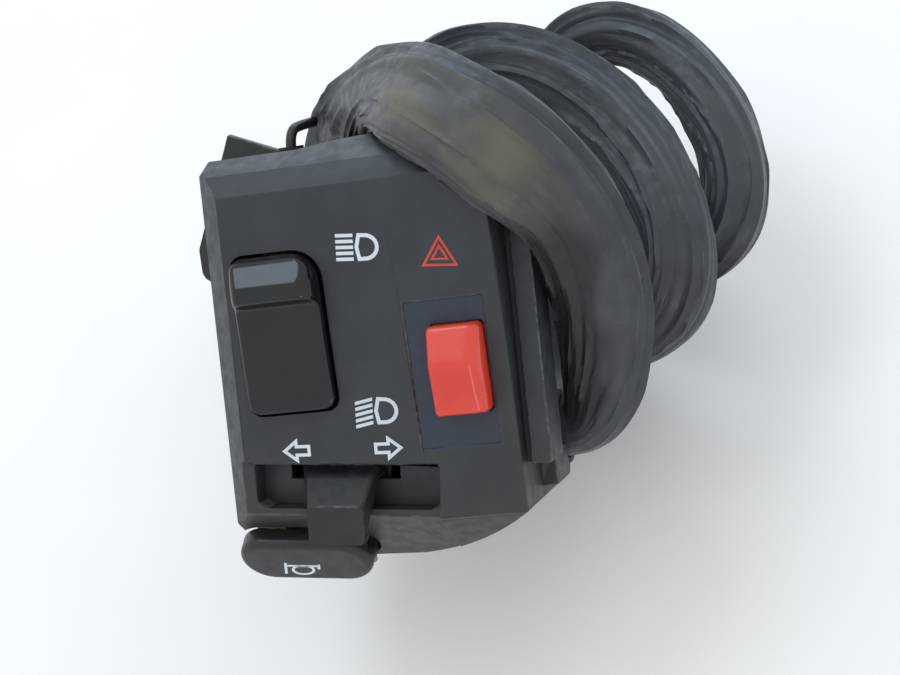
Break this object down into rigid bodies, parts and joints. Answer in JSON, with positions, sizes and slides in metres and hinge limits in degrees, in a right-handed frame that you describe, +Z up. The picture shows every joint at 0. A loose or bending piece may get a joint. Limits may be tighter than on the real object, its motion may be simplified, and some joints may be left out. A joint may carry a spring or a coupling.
{
  "type": "handlebar switch cluster",
  "caption": "Left-hand motorcycle handlebar switch cluster: dimmer rocker, hazard button, turn signal slider, horn pad, finger trigger, clamp bore and a wound wiring harness.",
  "frame": {"origin": "centre of the handlebar bore", "axes": "+X along the handlebar towards the middle of the motorcycle, +Z up, +Y forward; the switch face looks back and up at 45 degrees"},
  "size_m": [0.1327, 0.1404, 0.1161],
  "materials": {
    "housing": "satin moulded black",
    "cap": "glossy black",
    "warning_button": "glossy orange red",
    "lever": "satin black",
    "nylon": "natural nylon",
    "steel": "zinc plated steel",
    "spring_steel": "drawn spring steel",
    "contact": "bright brass",
    "boot": "matt black rubber",
    "sleeve": "soft black vinyl with fine creases",
    "wire": "vinyl insulation"
  },
  "bodies": {
    "base": {"rear_housing": "housing", "front_housing": "housing", "clamp_screws": "steel", "dimmer_base": "nylon", "dimmer_pin": "steel", "dimmer_contacts": "contact", "hazard_base": "nylon", "hazard_spring": "spring_steel", "hazard_contacts": "contact", "turn_base": "nylon", "turn_contacts": "contact", "base_screws": "steel", "horn_pin": "steel", "horn_spring": "spring_steel", "horn_base": "nylon", "trigger_pin": "steel", "trigger_spring": "spring_steel", "passing_switch": "nylon", "harness_boot": "boot", "inner_wires": "wire", "sleeve_coil": "sleeve", "sleeve_tail": "sleeve", "tail_collar": "boot", "cable_tie": "wire", "tail_wires": "wire", "plug_shell": "nylon", "plug_terminals": "contact", "lead_grommet": "boot", "clutch_lead": "wire"},
    "dimmer": {"dimmer_rocker": "cap", "dimmer_plunger": "nylon", "dimmer_spring": "spring_steel"},
    "hazard": {"hazard_button": "warning_button"},
    "slider": {"turn_slider": "nylon", "knob_spring": "spring_steel"},
    "knob": {"turn_knob": "cap"},
    "horn": {"horn_pad": "cap"},
    "trigger": {"passing_trigger": "lever"},
    "plunger": {"passing_plunger": "nylon"}
  },
  "joints": [
    {"name": "dimmer_rock", "type": "hinge", "parent": "base", "child": "dimmer", "pos_m": [-0.0161, -0.02645, 0.01315], "axis": [-1, 0, 0], "range_deg": [0, 6]},
    {"name": "hazard_press", "type": "slide", "parent": "base", "child": "hazard", "axis": [0, 0.7071, -0.7071], "range_m": [0, 0.0025], "stiffness_N_per_m": 700, "springref_m": -0.0025, "deforming": ["hazard_spring"]},
    {"name": "turn_slide", "type": "slide", "parent": "base", "child": "slider", "axis": [0.9962, -0.0616, -0.0616], "range_m": [-0.003, 0.003]},
    {"name": "turn_cancel", "type": "slide", "parent": "slider", "child": "knob", "axis": [0, 0.7071, -0.7071], "range_m": [0, 0.0008], "stiffness_N_per_m": 1500, "springref_m": -0.001, "deforming": ["knob_spring"]},
    {"name": "horn_press", "type": "hinge", "parent": "base", "child": "horn", "pos_m": [-0.01058, -0.05102, -0.02399], "axis": [-0.0648, -0.0503, -0.9966], "range_deg": [0, 5], "stiffness_Nm_per_rad": 0.3, "springref_deg": -3.44, "deforming": ["horn_spring"]},
    {"name": "trigger_pull", "type": "hinge", "parent": "base", "child": "trigger", "pos_m": [-0.0175, 0.01485, -0.01485], "axis": [0, 0.7071, 0.7071], "range_deg": [0, 6], "stiffness_Nm_per_rad": 0.4, "springref_deg": -5.73, "deforming": ["trigger_spring"]},
    {"name": "passing_slide", "type": "slide", "parent": "base", "child": "plunger", "axis": [0, -0.7071, 0.7071], "range_m": [0, 0.00075]}
  ],
  "couplings": [
    {"joint": "passing_slide", "follows": "trigger_pull", "m_per_rad": 0.007}
  ]
}
